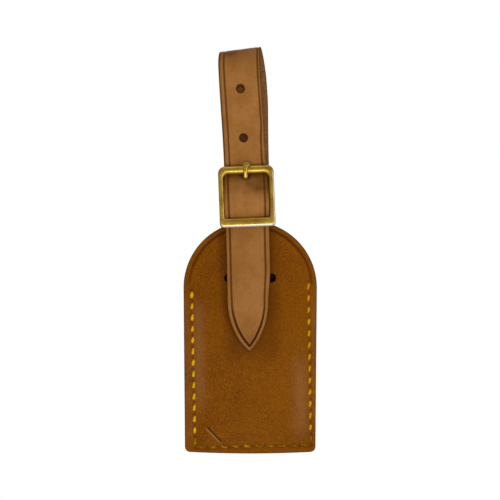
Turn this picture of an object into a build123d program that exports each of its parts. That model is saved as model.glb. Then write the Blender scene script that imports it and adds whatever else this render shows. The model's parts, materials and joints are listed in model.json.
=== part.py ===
import os
from math import acos, atan2, cos, degrees, hypot, radians, sin

from build123d import *

# A leather luggage tag that hangs from its own buckled strap.
# X runs across the tag, Y from its front to its back and Z up. The origin is the
# middle of the strap's top fold, where the handle of a bag sits. Millimetres, degrees.
# "Along" is measured up the strap, which leans a little to the left of the tag's own
# centreline, and "depth" is measured along Y. The tag's face looks towards -Y.

# Strap: one strip of leather
strap_width = 20.9
strap_thickness = 1.8
skived_thickness = 1.3
strap_lean = 2.2
fold_radius = 7.0
strap_hole_diameter = 4.2
upper_hole_along = -11.2
lower_hole_along = -34.6
prong_hole_along = -52.9
prong_hole_clearance = 0.1
flex_along = -41.5
flex_gap = 1.6
bend_radius = 4.0
front_run_rise = 1.6

# Tag: two leather panels with a pocket between them
panel_thickness = 1.4
arch_radius = 32.1
arch_above_slot = 27.4
tag_height = 111.9
tag_bottom_width = 62.8
bottom_bow = 0.8
corner_radius = 2.5
edge_round = 0.4
slot_drop = 101.5
slot_length = 24.6
slot_height = 4.2
back_slot_length = 21.6
back_slot_corner = 0.5
pocket_depth = 0.35
pocket_width = 52.4
pocket_above_seam = 0.8

# Address card
card_width = 51.0
card_height = 74.0
card_thickness = 0.5
card_offset = 0.8
card_rest_gap = 0.1

# Seams: each row of stitches has a hole at both ends of every stitch
side_stitches = 14
bottom_stitches = 10
seam_left_top = (-28.2, -5.5)
seam_left_bottom = (-26.2, -81.1)
seam_right_bottom = (29.35, -80.0)
seam_right_top = (27.9, -1.3)
thread_width = 0.8
thread_proud = 0.45
awl_hole_radius = 0.5
thread_leg_radius = 0.4

# Buckle
frame_width = 26.5
frame_top_along = -48.0
frame_bottom_along = -77.2
frame_back_depth = -8.0
frame_thickness = 2.5
frame_top_corner = 3.6
frame_bottom_corner = 2.0
frame_front_round = 0.85
frame_back_round = 0.7
window_width = 21.7
window_top_along = -51.8
window_bottom_along = -72.85
window_top_corner = 2.5
window_bottom_corner = 1.2
bar_along = -63.9
bar_depth = -5.9
bar_radius = 1.1
lug_radius = 1.9
lug_width = 2.0
lug_setback = 0.05
lug_root = 0.9
prong_width = 2.3
prong_thickness = 1.2
prong_eye_radius = 2.1
prong_root_reach = 0.5
prong_root_rise = 1.3
prong_rear_setback = 1.0
prong_rear_drop = 1.2
prong_front_drop = 0.4
prong_bow_drop = 1.0
prong_tip_along = -46.6
prong_tip_setback = 0.25
prong_bend_radius = 1.4
prong_end_round = 0.3
running_clearance = 0.05
resting_clearance = 0.1

# Strap's layers by depth: middle of each run of leather. The front run dips under the
# top bar, climbs over the centre bar and dips again under the bottom bar.
under_bar_depth = -6.2
over_bar_depth = -9.5
climb_from_along = -50.7
over_bar_from_along = -61.0
over_bar_to_along = -66.4
dip_to_along = -74.0
panel_clearance = 0.15
back_run_depth = panel_thickness + panel_clearance + strap_thickness / 2
buckle_end_depth = -4.0
turned_end_depth = -2.45
turned_end_from_along = -74.0
turned_end_along = -80.0
back_run_end_along = -72.0
back_run_straight_along = -74.0
sling_front_along = -97.5
buckle_end_low_along = -84.5
buckle_end_high_along = -74.6

# Strap's end round the centre bar, where it is skived
skive_start = (-5.45, -70.4)
wrap_reach = bar_radius + 0.2 + skived_thickness / 2
wrap_front_drop = 1.0
wrap_back_drop = 2.4
wrap_bend_radius = 1.8
slot_clearance = 1.0
slot_turn_radius = 1.15
buckle_end_bend_radius = 6.0
eye_slot_height = 8.0
eye_slot_rise = 0.4
eye_slot_clearance = 0.5

# Tip of the strap, which lies over the tag
tip_top_along = -80.4
tip_point_along = -137.2
tip_lean = 0.95
tip_point_depth = -3.3
tip_taper = 25.0
front_end_along = -79.2

# Thread that sews the turned end below the centre bar
end_seam_along = -77.6
end_seam_pitch = 4.0
end_seam_holes = 5
end_thread_proud = 0.25
end_thread_clearance = 0.05
lock_gap = 0.03

lean_across = Vector(cos(radians(strap_lean)), 0, sin(radians(strap_lean)))
lean_up = Vector(-sin(radians(strap_lean)), 0, cos(radians(strap_lean)))
side_plane = Plane(origin=(0, 0, 0), x_dir=(0, 1, 0), z_dir=lean_across)
strap_face = Plane(origin=(0, 0, 0), x_dir=lean_across, z_dir=(0, -1, 0))
slot_centre = lean_up * -slot_drop
tag_face = Plane(origin=slot_centre, x_dir=(1, 0, 0), z_dir=(0, -1, 0))

fold_middle_radius = fold_radius + strap_thickness / 2
half_gap = flex_gap / 2
spring_line = arch_above_slot - arch_radius
tag_bottom = arch_above_slot - tag_height

os.makedirs("parts", exist_ok=True)


def save(piece, name):
    piece.part.label = name
    export_step(piece.part, f"parts/{name}.step")


def tangent_angle(point, side):
    """Angle on the fold's middle circle where a straight run to the point leaves it."""
    reach = degrees(acos(fold_middle_radius / hypot(*point)))
    return degrees(atan2(point[1], point[0])) + side * reach


# Where the strap's two upper runs arrive, as depth and along
front_run_end = (under_bar_depth, frame_top_along + front_run_rise)
back_run_end = (back_run_depth, back_run_end_along)
front_tangent = tangent_angle(front_run_end, -1)
back_tangent = tangent_angle(back_run_end, 1)


def fold_point(angle):
    return (fold_middle_radius * cos(radians(angle)), fold_middle_radius * sin(radians(angle)))


def run_point(start, end, along):
    """The point of the straight run from start to end that is at the given height."""
    share = (along - start[1]) / (end[1] - start[1])
    return (start[0] + share * (end[0] - start[0]), along)


def front_run_point(along):
    return run_point(fold_point(front_tangent), front_run_end, along)


def back_run_point(along):
    return run_point(fold_point(back_tangent), back_run_end, along)


# ---------------------------------------------------------------- strap, upper loop
upper_end = flex_along + half_gap

with BuildPart() as strap_loop:
    with BuildSketch(side_plane):
        with BuildLine():
            Line(front_run_point(upper_end), fold_point(front_tangent))
            ThreePointArc(
                fold_point(front_tangent), (0, fold_middle_radius), fold_point(back_tangent)
            )
            Line(fold_point(back_tangent), back_run_point(upper_end))
        trace(line_width=strap_thickness)
    extrude(amount=strap_width / 2, both=True)
    with BuildSketch(strap_face):
        with Locations((0, upper_hole_along), (0, lower_hole_along)):
            Circle(strap_hole_diameter / 2)
    extrude(amount=fold_radius + 2 * strap_thickness, mode=Mode.SUBTRACT)
save(strap_loop, "strap_loop")


# ------------------------------------------------- strap, front run through the buckle
lower_end = flex_along - half_gap
prong_hole_radius = strap_hole_diameter / 2 + prong_hole_clearance

with BuildPart() as strap_front:
    with BuildSketch(side_plane):
        with BuildLine():
            FilletPolyline(
                front_run_point(lower_end),
                (under_bar_depth, climb_from_along),
                (over_bar_depth, over_bar_from_along),
                (over_bar_depth, over_bar_to_along),
                (under_bar_depth, dip_to_along),
                (under_bar_depth, front_end_along),
                radius=bend_radius,
            )
        trace(line_width=strap_thickness)
    extrude(amount=strap_width / 2, both=True)
    with BuildSketch(strap_face.offset(-under_bar_depth - strap_thickness)):
        with Locations((0, prong_hole_along)):
            Circle(prong_hole_radius)
    extrude(amount=3 * strap_thickness, mode=Mode.SUBTRACT)
save(strap_front, "strap_front")


# --------------------------------------- strap, back run, slot and end on the buckle
sling_along = -slot_drop + slot_height / 2 - slot_clearance - strap_thickness / 2
end_thread_legs = [
    ((i - (end_seam_holes - 1) / 2) * end_seam_pitch, end_seam_along) for i in range(end_seam_holes)
]

with BuildPart() as strap_sling:
    with BuildSketch(side_plane):
        with BuildLine():
            Line(back_run_point(lower_end), (back_run_depth, back_run_straight_along))
            FilletPolyline(
                (back_run_depth, back_run_straight_along),
                (back_run_depth, sling_along),
                (-back_run_depth, sling_along),
                (-back_run_depth, sling_front_along),
                radius=slot_turn_radius,
            )
            FilletPolyline(
                (-back_run_depth, sling_front_along),
                (buckle_end_depth, buckle_end_low_along),
                (buckle_end_depth, buckle_end_high_along),
                skive_start,
                radius=buckle_end_bend_radius,
            )
        trace(line_width=strap_thickness)
    extrude(amount=strap_width / 2, both=True)
    with BuildSketch(side_plane):
        with BuildLine():
            FilletPolyline(
                skive_start,
                (bar_depth - wrap_reach, bar_along - wrap_front_drop),
                (bar_depth - wrap_reach, bar_along + wrap_reach),
                (bar_depth + wrap_reach, bar_along + wrap_reach),
                (bar_depth + wrap_reach, bar_along - wrap_back_drop),
                (turned_end_depth, turned_end_from_along),
                (turned_end_depth, turned_end_along),
                radius=wrap_bend_radius,
            )
        trace(line_width=skived_thickness)
    extrude(amount=strap_width / 2, both=True)
    with BuildSketch(strap_face.offset(-bar_depth - eye_slot_height / 2)):
        with Locations((0, bar_along + eye_slot_rise)):
            Rectangle(prong_width + 2 * eye_slot_clearance, eye_slot_height)
    extrude(amount=eye_slot_height, mode=Mode.SUBTRACT)
    with BuildSketch(strap_face):
        with Locations(*end_thread_legs):
            Circle(thread_leg_radius + end_thread_clearance)
    extrude(amount=fold_radius, mode=Mode.SUBTRACT)
save(strap_sling, "strap_sling")


# ------------------------------------------------------------------- strap, tip
tip_slope = degrees(atan2(tip_point_depth - under_bar_depth, tip_top_along - tip_point_along))
tip_length = hypot(tip_point_depth - under_bar_depth, tip_top_along - tip_point_along)
tip_arc_radius = (tip_taper**2 + (strap_width / 2) ** 2) / strap_width
tip_half_turn = degrees(atan2(strap_width / 2, tip_taper))
tip_across = Vector(cos(radians(tip_lean)), 0, sin(radians(tip_lean)))
tip_up = Vector(-sin(radians(tip_lean)), 0, cos(radians(tip_lean)))
tip_normal = Vector(0, -cos(radians(tip_slope)), 0) - tip_up * sin(radians(tip_slope))
tip_origin = Vector(0, under_bar_depth, 0) + lean_up * tip_top_along
tip_plane = Plane(origin=tip_origin, x_dir=tip_across, z_dir=tip_normal)
tip_bulge = (
    tip_arc_radius * (1 - cos(radians(tip_half_turn))),
    tip_arc_radius * sin(radians(tip_half_turn)),
)

with BuildPart() as strap_tip:
    with BuildSketch(tip_plane):
        with BuildLine():
            Line((-strap_width / 2, tip_taper - tip_length), (-strap_width / 2, 0))
            Line((-strap_width / 2, 0), (strap_width / 2, 0))
            Line((strap_width / 2, 0), (strap_width / 2, tip_taper - tip_length))
            ThreePointArc(
                (strap_width / 2, tip_taper - tip_length),
                (strap_width / 2 - tip_bulge[0], tip_taper - tip_length - tip_bulge[1]),
                (0, -tip_length),
            )
            ThreePointArc(
                (0, -tip_length),
                (tip_bulge[0] - strap_width / 2, tip_taper - tip_length - tip_bulge[1]),
                (-strap_width / 2, tip_taper - tip_length),
            )
        make_face()
    extrude(amount=strap_thickness / 2, both=True)
save(strap_tip, "strap_tip")


# -------------------------------------------------- thread of the strap's turned end
end_thread_front = buckle_end_depth - strap_thickness / 2
end_thread_back = turned_end_depth + skived_thickness / 2
end_thread_height = end_thread_back - end_thread_front

with BuildPart() as strap_end_thread:
    with BuildSketch(strap_face.offset(-end_thread_back)):
        with Locations(*end_thread_legs):
            Circle(thread_leg_radius)
    extrude(amount=end_thread_height)
    with BuildSketch(
        strap_face.offset(-end_thread_front),
        strap_face.offset(-end_thread_back - end_thread_proud),
    ):
        with Locations((0, end_seam_along)):
            SlotCenterToCenter((end_seam_holes - 1) * end_seam_pitch, 2 * thread_leg_radius)
    extrude(amount=end_thread_proud)
save(strap_end_thread, "strap_end_thread")


# ------------------------------------------------------------------- buckle frame
frame_middle = (frame_top_along + frame_bottom_along) / 2
window_middle = (window_top_along + window_bottom_along) / 2
lug_middle = window_width / 2 + lug_setback + lug_width / 2

with BuildPart() as buckle_frame:
    with BuildSketch(strap_face.offset(-frame_back_depth)) as outline:
        with Locations((0, frame_middle)):
            Rectangle(frame_width, frame_top_along - frame_bottom_along)
        fillet(outline.vertices().group_by(Axis.Y)[-1], frame_top_corner)
        fillet(outline.vertices().group_by(Axis.Y)[0], frame_bottom_corner)
        with BuildSketch(mode=Mode.SUBTRACT) as window:
            with Locations((0, window_middle)):
                Rectangle(window_width, window_top_along - window_bottom_along)
            fillet(window.vertices().group_by(Axis.Y)[-1], window_top_corner)
            fillet(window.vertices().group_by(Axis.Y)[0], window_bottom_corner)
    extrude(amount=frame_thickness)
    fillet(buckle_frame.faces().sort_by(Axis.Y)[0].edges(), frame_front_round)
    fillet(buckle_frame.faces().sort_by(Axis.Y)[-1].edges(), frame_back_round)
    for side in (-1, 1):
        with BuildSketch(side_plane.offset(side * lug_middle)):
            with Locations(((bar_depth + frame_back_depth - lug_root) / 2, bar_along)):
                Rectangle(bar_depth - frame_back_depth + lug_root, 2 * lug_radius)
            with Locations((bar_depth, bar_along)):
                Circle(lug_radius)
                Circle(bar_radius, mode=Mode.SUBTRACT)
        extrude(amount=lug_width / 2, both=True)
save(buckle_frame, "buckle_frame")


# ------------------------------------------------------------------- centre bar
with BuildPart() as centre_bar:
    with BuildSketch(side_plane):
        with Locations((bar_depth, bar_along)):
            Circle(bar_radius)
    extrude(amount=lug_middle + lug_width / 2, both=True)
save(centre_bar, "centre_bar")


# ------------------------------------------------------------------- prong
prong_rest_depth = (
    frame_back_depth - frame_thickness - resting_clearance - prong_thickness / 2
)

with BuildPart() as prong:
    with BuildSketch(side_plane):
        with BuildLine():
            FilletPolyline(
                (bar_depth - prong_root_reach, bar_along + prong_root_rise),
                (bar_depth + prong_rear_setback, prong_hole_along - prong_rear_drop),
                (prong_rest_depth, prong_hole_along - prong_front_drop),
                (prong_rest_depth, frame_top_along - prong_bow_drop),
                (prong_rest_depth + prong_tip_setback, prong_tip_along),
                radius=prong_bend_radius,
            )
        trace(line_width=prong_thickness)
        with Locations((bar_depth, bar_along)):
            Circle(prong_eye_radius)
            Circle(bar_radius + running_clearance, mode=Mode.SUBTRACT)
    extrude(amount=prong_width / 2, both=True)
    tip_edges = prong.faces().sort_by(Axis.Z)[-1].edges().filter_by(Axis.Y, reverse=True)
    fillet(tip_edges, prong_end_round)
save(prong, "prong")


# ------------------------------------------------------------------- tag panels
def seam_row(start, end, stitches):
    """The awl holes of one straight row, from its first to its last."""
    step = (Vector(*end) - Vector(*start)) / stitches
    return [Vector(*start) + step * i for i in range(stitches + 1)]


seam_holes = [
    *seam_row(seam_left_top, seam_left_bottom, side_stitches),
    *seam_row(seam_left_bottom, seam_right_bottom, bottom_stitches)[1:-1],
    *seam_row(seam_right_bottom, seam_right_top, side_stitches),
]
pocket_bottom = max(seam_left_bottom[1], seam_right_bottom[1]) + pocket_above_seam
card_bottom = pocket_bottom + card_rest_gap


def tag_panel(side):
    """One panel: side 1 is the front, which grows towards the viewer, and -1 the back."""
    with BuildPart() as panel:
        with BuildSketch(tag_face) as shape:
            with BuildLine():
                arch = CenterArc((0, spring_line), arch_radius, 0, 180)
                left = Line(arch @ 1, (-tag_bottom_width / 2, tag_bottom + bottom_bow))
                bottom = ThreePointArc(
                    left @ 1, (0, tag_bottom), (tag_bottom_width / 2, tag_bottom + bottom_bow)
                )
                Line(bottom @ 1, arch @ 0)
            make_face()
            fillet(shape.vertices().group_by(Axis.Y)[0], corner_radius)
        extrude(amount=side * panel_thickness)
        outer_face = panel.faces().sort_by(Axis.Y)[0 if side > 0 else -1]
        fillet(outer_face.edges(), edge_round)
        with BuildSketch(tag_face):
            if side > 0:
                SlotOverall(slot_length, slot_height)
            else:
                RectangleRounded(back_slot_length, slot_height, back_slot_corner)
            with Locations(*seam_holes):
                Circle(awl_hole_radius)
        extrude(amount=side * panel_thickness, mode=Mode.SUBTRACT)
        with BuildSketch(tag_face):
            with Locations((card_offset, pocket_bottom)):
                Rectangle(pocket_width, tag_height, align=(Align.CENTER, Align.MIN))
        extrude(amount=side * pocket_depth, mode=Mode.SUBTRACT)
    return panel


save(tag_panel(1), "front_panel")
save(tag_panel(-1), "back_panel")


# ------------------------------------------------------------------- seam threads
def seam_thread(side):
    """The thread on one face: side 1 is the front's, and -1 the back's. They lock at the middle."""
    with BuildPart() as thread:
        with BuildSketch(tag_face.offset(side * panel_thickness)):
            with BuildLine():
                Polyline(seam_left_top, seam_left_bottom, seam_right_bottom, seam_right_top)
            trace(line_width=thread_width)
        extrude(amount=side * thread_proud)
        with BuildSketch(tag_face.offset(side * lock_gap)):
            with Locations(*seam_holes):
                Circle(thread_leg_radius)
        extrude(amount=side * (panel_thickness - lock_gap + thread_proud / 2))
    return thread


save(seam_thread(1), "front_seam_thread")
save(seam_thread(-1), "back_seam_thread")


# ------------------------------------------------------------------- address card
with BuildPart() as address_card:
    with BuildSketch(tag_face):
        with Locations((card_offset, card_bottom)):
            Rectangle(card_width, card_height, align=(Align.CENTER, Align.MIN))
    extrude(amount=card_thickness / 2, both=True)
save(address_card, "address_card")
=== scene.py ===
import json
import random
from math import acos, atan2, ceil, cos, hypot, pi, radians, sin, tan

import bmesh
import bpy
import numpy as np
from mathutils import Matrix, Vector
from mathutils.geometry import delaunay_2d_cdt
from mathutils.kdtree import KDTree


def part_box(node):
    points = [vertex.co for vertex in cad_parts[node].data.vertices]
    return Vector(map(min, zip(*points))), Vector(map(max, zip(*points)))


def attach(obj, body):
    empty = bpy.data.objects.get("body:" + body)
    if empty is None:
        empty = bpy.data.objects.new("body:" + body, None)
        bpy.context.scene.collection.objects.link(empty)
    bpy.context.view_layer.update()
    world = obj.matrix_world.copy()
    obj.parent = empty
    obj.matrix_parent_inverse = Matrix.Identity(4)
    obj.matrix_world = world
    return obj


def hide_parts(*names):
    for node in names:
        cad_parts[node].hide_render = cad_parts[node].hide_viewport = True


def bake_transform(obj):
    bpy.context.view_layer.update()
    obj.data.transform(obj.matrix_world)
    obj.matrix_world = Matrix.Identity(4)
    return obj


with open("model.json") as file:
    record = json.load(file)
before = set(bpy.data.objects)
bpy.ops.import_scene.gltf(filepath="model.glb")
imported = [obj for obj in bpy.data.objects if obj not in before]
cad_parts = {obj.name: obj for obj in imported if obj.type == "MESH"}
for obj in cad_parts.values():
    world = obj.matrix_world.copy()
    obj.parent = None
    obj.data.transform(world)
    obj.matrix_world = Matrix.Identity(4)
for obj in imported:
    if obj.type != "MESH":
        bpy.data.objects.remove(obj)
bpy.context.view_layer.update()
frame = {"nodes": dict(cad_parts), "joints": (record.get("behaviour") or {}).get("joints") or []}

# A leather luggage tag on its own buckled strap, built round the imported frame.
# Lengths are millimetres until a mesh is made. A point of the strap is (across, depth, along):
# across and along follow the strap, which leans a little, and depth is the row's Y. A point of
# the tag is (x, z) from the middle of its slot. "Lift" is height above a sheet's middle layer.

MM = 0.001
joints = {joint["name"]: joint for joint in frame["joints"]}


# ---- places from the frame
lean_across = np.array(joints["strap_flex"]["axis"], float)
lean_up = np.array([-lean_across[2], 0.0, lean_across[0]])
slot_middle = np.array(joints["tag_tilt"]["pos_m"]) / MM
bar_middle = np.array(joints["frame_rock"]["pos_m"]) / MM
bar_depth = bar_middle[1]
bar_along = bar_middle @ lean_up
tag_low, tag_high = np.array(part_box("front_panel")) / MM
arch_radius = (tag_high[0] - tag_low[0]) / 2
spring_line = tag_high[2] - slot_middle[2] - arch_radius
tag_bottom = tag_low[2] - slot_middle[2]
panel_thickness = tag_high[1] - tag_low[1]

# ---- sizes of the real thing
strap_width = 20.9
strap_thickness = 1.8
skived_thickness = 1.3
fold_middle_radius = 7.9
strap_holes = [(0.0, -52.9, 2.0), (0.0, -34.6, 2.15), (0.1, -11.2, 2.15)]
strap_crease_inset = 2.15
strap_joint_along = -75.5
tip_point = (-3.3, -137.2)
tip_taper = 25.0
under_bar_depth = -6.2
over_bar_depth = -9.5
back_run_depth = 2.45

tag_bottom_width = 62.8
bottom_bow = 0.8
corner_radius = 2.5
slot_length = 24.6
slot_height = 4.2
back_slot_length = 20.4
slot_shift = -0.9
tag_crease_inset = 2.6
dome_height = 0.75
back_dome_height = 0.45
pocket_recess = 0.35
pocket_half_width = 26.2
pocket_offset = 0.8
pocket_bottom = -79.3

side_stitches = 14
bottom_stitches = 10
seam_corners = [(-28.2, -5.5), (-26.5, -81.55), (29.15, -80.4), (27.9, -1.3)]
stitch_half_width = 0.64
stitch_half_height = 0.40
stitch_half_length = 1.80
stitch_sink = 0.20
stitch_crown = 0.22
stitch_dive = 0.85
thread_lay = 2.6
frayed_size = 1.22

frame_width = 26.5
frame_shift = -0.15
frame_top = -48.0
frame_bottom = -77.2
frame_depth = -9.25
lug_across = 12.0
window_width = 21.7
window_top = -51.85
window_bottom = -72.85


# ---- geometry helpers
def smooth(value, low, high):
    """0 before low and 1 after high, with an S between them; high may be the smaller."""
    share = np.clip((np.asarray(value, float) - low) / (high - low), 0.0, 1.0)
    return share * share * (3.0 - 2.0 * share)


def bell(gap, width):
    """1 at no gap, falling away either side of it."""
    return np.exp(-((gap / width) ** 2))


def ripple(points, wave, seed):
    """A gentle unevenness between -1 and 1, about wave millimetres from crest to crest."""
    turn = random.Random(seed)
    total = np.zeros(len(points))
    for _ in range(5):
        heading, phase = turn.uniform(0, 2 * pi), turn.uniform(0, 2 * pi)
        pace = 2 * pi / (wave * turn.uniform(0.7, 1.5))
        total += np.sin((points[:, 0] * cos(heading) + points[:, 1] * sin(heading)) * pace + phase)
    return total / 5


def turns_round(count):
    return np.linspace(0, 2 * pi, count, endpoint=False)


def arc(x, z, radius, turns):
    return np.column_stack([x + radius * np.cos(turns), z + radius * np.sin(turns)])


def way_between(start, end):
    """The unit way from one flat point to another, and the unit way to its left."""
    way = (end - start) / np.linalg.norm(end - start)
    return way, np.array([-way[1], way[0]])


def adding_up(steps):
    return np.concatenate([[0.0], np.cumsum(steps)])


def rounded_route(corners, radii, step=0.2):
    """Evenly spaced points along straight runs that are joined by tangent arcs."""
    corners = [np.array(corner, float) for corner in corners]
    route = [corners[0]]
    for before, corner, after, radius in zip(corners, corners[1:], corners[2:], radii):
        arriving, aside = way_between(before, corner)
        leaving, _ = way_between(corner, after)
        turn = atan2(aside @ leaving, arriving @ leaving)
        side = 1.0 if turn > 0 else -1.0
        start = corner - arriving * radius * tan(abs(turn) / 2)
        centre = start + side * radius * aside
        spoke = start - centre
        first = atan2(spoke[1], spoke[0])
        steps = max(3, ceil(radius * abs(turn) / step) + 1)
        route += list(arc(*centre, radius, np.linspace(first, first + turn, steps)))
    route.append(corners[-1])
    route = np.array(route)
    reach = adding_up(np.hypot(*np.diff(route, axis=0).T))
    even = np.linspace(0, reach[-1], ceil(reach[-1] / step) + 1)
    return np.column_stack([np.interp(even, reach, route[:, 0]), np.interp(even, reach, route[:, 1])])


class Route:
    """The middle layer of a strip of leather or metal, seen from its side as depth and along."""

    def __init__(self, points):
        self.points = np.array(points)
        self.reach = adding_up(np.hypot(*np.diff(self.points, axis=0).T))
        self.length = self.reach[-1]
        slope = np.gradient(self.points, self.reach, axis=0)
        self.heading = np.unwrap(np.arctan2(slope[:, 1], slope[:, 0]))

    def point(self, distance, lift):
        """Depth and along of a point that is lifted off the route, to the left of its course."""
        heading = np.interp(distance, self.reach, self.heading)
        depth = np.interp(distance, self.reach, self.points[:, 0]) - lift * np.sin(heading)
        along = np.interp(distance, self.reach, self.points[:, 1]) + lift * np.cos(heading)
        return depth, along

    def distance_at(self, along):
        """How far along the route it first comes up to a height."""
        return self.reach[np.argmax(self.points[:, 1] >= along)]

    def rows(self, longest, sharpest):
        """Distances for a mesh's rows: no two are further apart or turn more than this."""
        bend = np.abs(np.gradient(self.heading, self.reach))
        density = np.maximum(1.0 / longest, bend / sharpest)
        count = adding_up((density[1:] + density[:-1]) / 2 * np.diff(self.reach))
        return np.interp(np.linspace(0, count[-1], ceil(count[-1]) + 1), count, self.reach)


def distance_to(points, line):
    """Distance of each flat point from a line of points."""
    start, way = line[:-1], np.diff(line, axis=0)
    nearest = []
    for some in np.array_split(points, len(points) // 1000 + 1):
        offset = some[:, None] - start[None]
        share = np.clip((offset * way).sum(-1) / (way * way).sum(-1), 0, 1)
        gap = offset - share[..., None] * way
        nearest.append(np.hypot(gap[..., 0], gap[..., 1]).min(axis=1))
    return np.concatenate(nearest)


def closed(loop):
    return np.vstack([loop, loop[:1]])


def inside(points, loop):
    """True for each flat point that lies within the loop."""
    crossings = np.zeros(len(points), int)
    for (x0, y0), (x1, y1) in zip(loop, np.roll(loop, -1, axis=0)):
        spans = (y0 > points[:, 1]) != (y1 > points[:, 1])
        rise = y1 - y0 if y1 != y0 else 1.0
        crossings += spans & (points[:, 0] < x0 + (points[:, 1] - y0) / rise * (x1 - x0))
    return crossings % 2 == 1


def ring_beside(loop, gap):
    """An anticlockwise loop's points moved inward by the gap, or outward where it's negative."""
    way = np.roll(loop, -1, axis=0) - np.roll(loop, 1, axis=0)
    inward = np.column_stack([-way[:, 1], way[:, 0]]) / np.hypot(*way.T)[:, None]
    moved = loop + inward * gap
    return moved[distance_to(moved, closed(loop)) > abs(gap) * 0.97]


def slot_loop(middle, length, height, across=True):
    """A round-ended slot, anticlockwise."""
    step = 0.4
    radius, straight = height / 2, (length - height) / 2
    right = arc(straight, 0.0, radius, np.linspace(-pi / 2, pi / 2, 15))
    edge = np.arange(straight - step, -straight, -step)
    top = np.column_stack([edge, np.full(len(edge), radius)])
    half = np.vstack([right, top])
    loop = np.vstack([half, -half])
    if not across:
        loop = np.column_stack([-loop[:, 1], loop[:, 0]])
    return loop + middle


def rounded_loop(half_width, bottom, top, bottom_radius, top_radius):
    """An anticlockwise rounded rectangle with the same number of points whatever its size."""
    corners = [
        (half_width - bottom_radius, bottom + bottom_radius, bottom_radius, -pi / 2),
        (half_width - top_radius, top - top_radius, top_radius, 0.0),
        (top_radius - half_width, top - top_radius, top_radius, pi / 2),
        (bottom_radius - half_width, bottom + bottom_radius, bottom_radius, pi),
    ]
    arcs = []
    for x, z, radius, first in corners:
        arcs.append(arc(x, z, radius, np.linspace(first, first + pi / 2, 12)))
    loop = []
    for here, following in zip(arcs, arcs[1:] + arcs[:1]):
        side = np.linspace(here[-1], following[0], 22)[1:-1]
        loop += [*here, *side]
    return np.array(loop)


def spaced(groups):
    """The points of each group in turn that keep the group's gap from all the points before."""
    kept = []
    for points, gap in groups:
        if kept:
            tree = KDTree(len(kept))
            for index, point in enumerate(kept):
                tree.insert((*point, 0.0), index)
            tree.balance()
            points = [point for point in points if tree.find((*point, 0.0))[2] >= gap]
        kept += [tuple(point) for point in points]
    return kept


def lattice(low, high, spacing):
    """Staggered points that fill a rectangle."""
    points = []
    for row, z in enumerate(np.arange(low[1], high[1], spacing * 0.87)):
        points += [(x, z) for x in np.arange(low[0] + (row % 2) * spacing / 2, high[0], spacing)]
    return points


class Sheet:
    """A flat piece of leather as triangles: its outline, its holes, and points inside it."""

    def __init__(self, outline, holes, interior, worn=None):
        corners, edges = [], []
        for loop in (outline, *holes):
            first, count = len(corners), len(loop)
            corners += [Vector(point) for point in loop]
            edges += [(first + i, first + (i + 1) % count) for i in range(count)]
        corners += [Vector(point) for point in interior]
        points, _, faces, *_ = delaunay_2d_cdt(corners, edges, [], 1, 1e-6)
        self.flat = np.array([tuple(point) for point in points])
        triangles = np.array([tuple(face) for face in faces])
        for hole in holes:
            triangles = triangles[~inside(self.flat[triangles].mean(axis=1), hole)]
        self.triangles = triangles
        rim = {}
        for a, b in np.vstack([triangles[:, [0, 1]], triangles[:, [1, 2]], triangles[:, [2, 0]]]):
            if (b, a) in rim:
                del rim[(b, a)]
            else:
                rim[(a, b)] = True
        self.rim = list(rim)
        self.inset = distance_to(self.flat, closed(outline) if worn is None else worn)
        self.from_hole = np.full(len(self.flat), 99.0)
        for hole in holes:
            self.from_hole = np.minimum(self.from_hole, distance_to(self.flat, closed(hole)))

    def rounding(self, radius, hole_radius):
        """How much lower the surface is near the cut edges, which are rounded over."""
        drop = np.zeros(len(self.flat))
        for gap, size in ((self.inset, radius), (self.from_hole, hole_radius)):
            short = np.clip(size - gap, 0.0, size)
            drop = np.maximum(drop, size - np.sqrt(size * size - short * short))
        return drop


# ---- making pieces
def add_object(name, data):
    added = bpy.data.objects.new(name, data)
    bpy.context.scene.collection.objects.link(added)
    return added


def make_piece(name, points, faces, slot, sharp=50):
    """A smooth mesh from points in millimetres, whose faces all look outward."""
    mesh = bpy.data.meshes.new(name)
    mesh.from_pydata((np.asarray(points) * MM).tolist(), [], faces)
    work = bmesh.new()
    work.from_mesh(mesh)
    bmesh.ops.recalc_face_normals(work, faces=work.faces)
    work.to_mesh(mesh)
    work.free()
    mesh.shade_smooth()
    mesh.set_sharp_from_angle(angle=radians(sharp))
    mesh.materials.append(finishes[slot])
    piece = add_object(name, mesh)
    return piece


def write_field(piece, name, values):
    """A number or a vector for each point of a mesh, which its material reads."""
    values = np.asarray(values, np.float32)
    kind, part = ("FLOAT", "value") if values.ndim == 1 else ("FLOAT_VECTOR", "vector")
    piece.data.attributes.new(name, kind, "POINT").data.foreach_set(part, values.ravel())


def leather_piece(name, sheet, place, lifts, slot, marks, crease_gap, ink, shift=0.0, under=None):
    """A closed piece from a flat sheet, whose two faces place(flat, lift) puts in space.

    marks are three fields that darken or pale the leather: real stains and wear, and painted
    shade and sheen. ink is how dark a strap's pressed line is, and on a panel it is 1 where the
    leather may be scratched.
    """
    count = len(sheet.flat)
    flesh_side = sheet.flat if under is None else under
    points = np.vstack([place(sheet.flat, lifts[0]), place(flesh_side, lifts[1])])
    faces = [tuple(face) for face in sheet.triangles.tolist()]
    faces += [(a + count, c + count, b + count) for a, b, c in sheet.triangles.tolist()]
    faces += [(int(b), int(a), int(a) + count, int(b) + count) for a, b in sheet.rim]
    piece = make_piece(name, points, faces, slot)
    write_field(piece, "grain_side", np.repeat([1.0, 0.0], count))
    write_field(piece, "ink", np.tile(ink, 2))
    for field, columns in (
        ("on_sheet", (sheet.flat[:, 0], sheet.flat[:, 1] + shift, sheet.inset)),
        ("lines", (sheet.inset, crease_gap, sheet.from_hole)),
        ("marks", marks),
    ):
        write_field(piece, field, np.tile(np.column_stack(columns), (2, 1)))
    return piece


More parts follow.
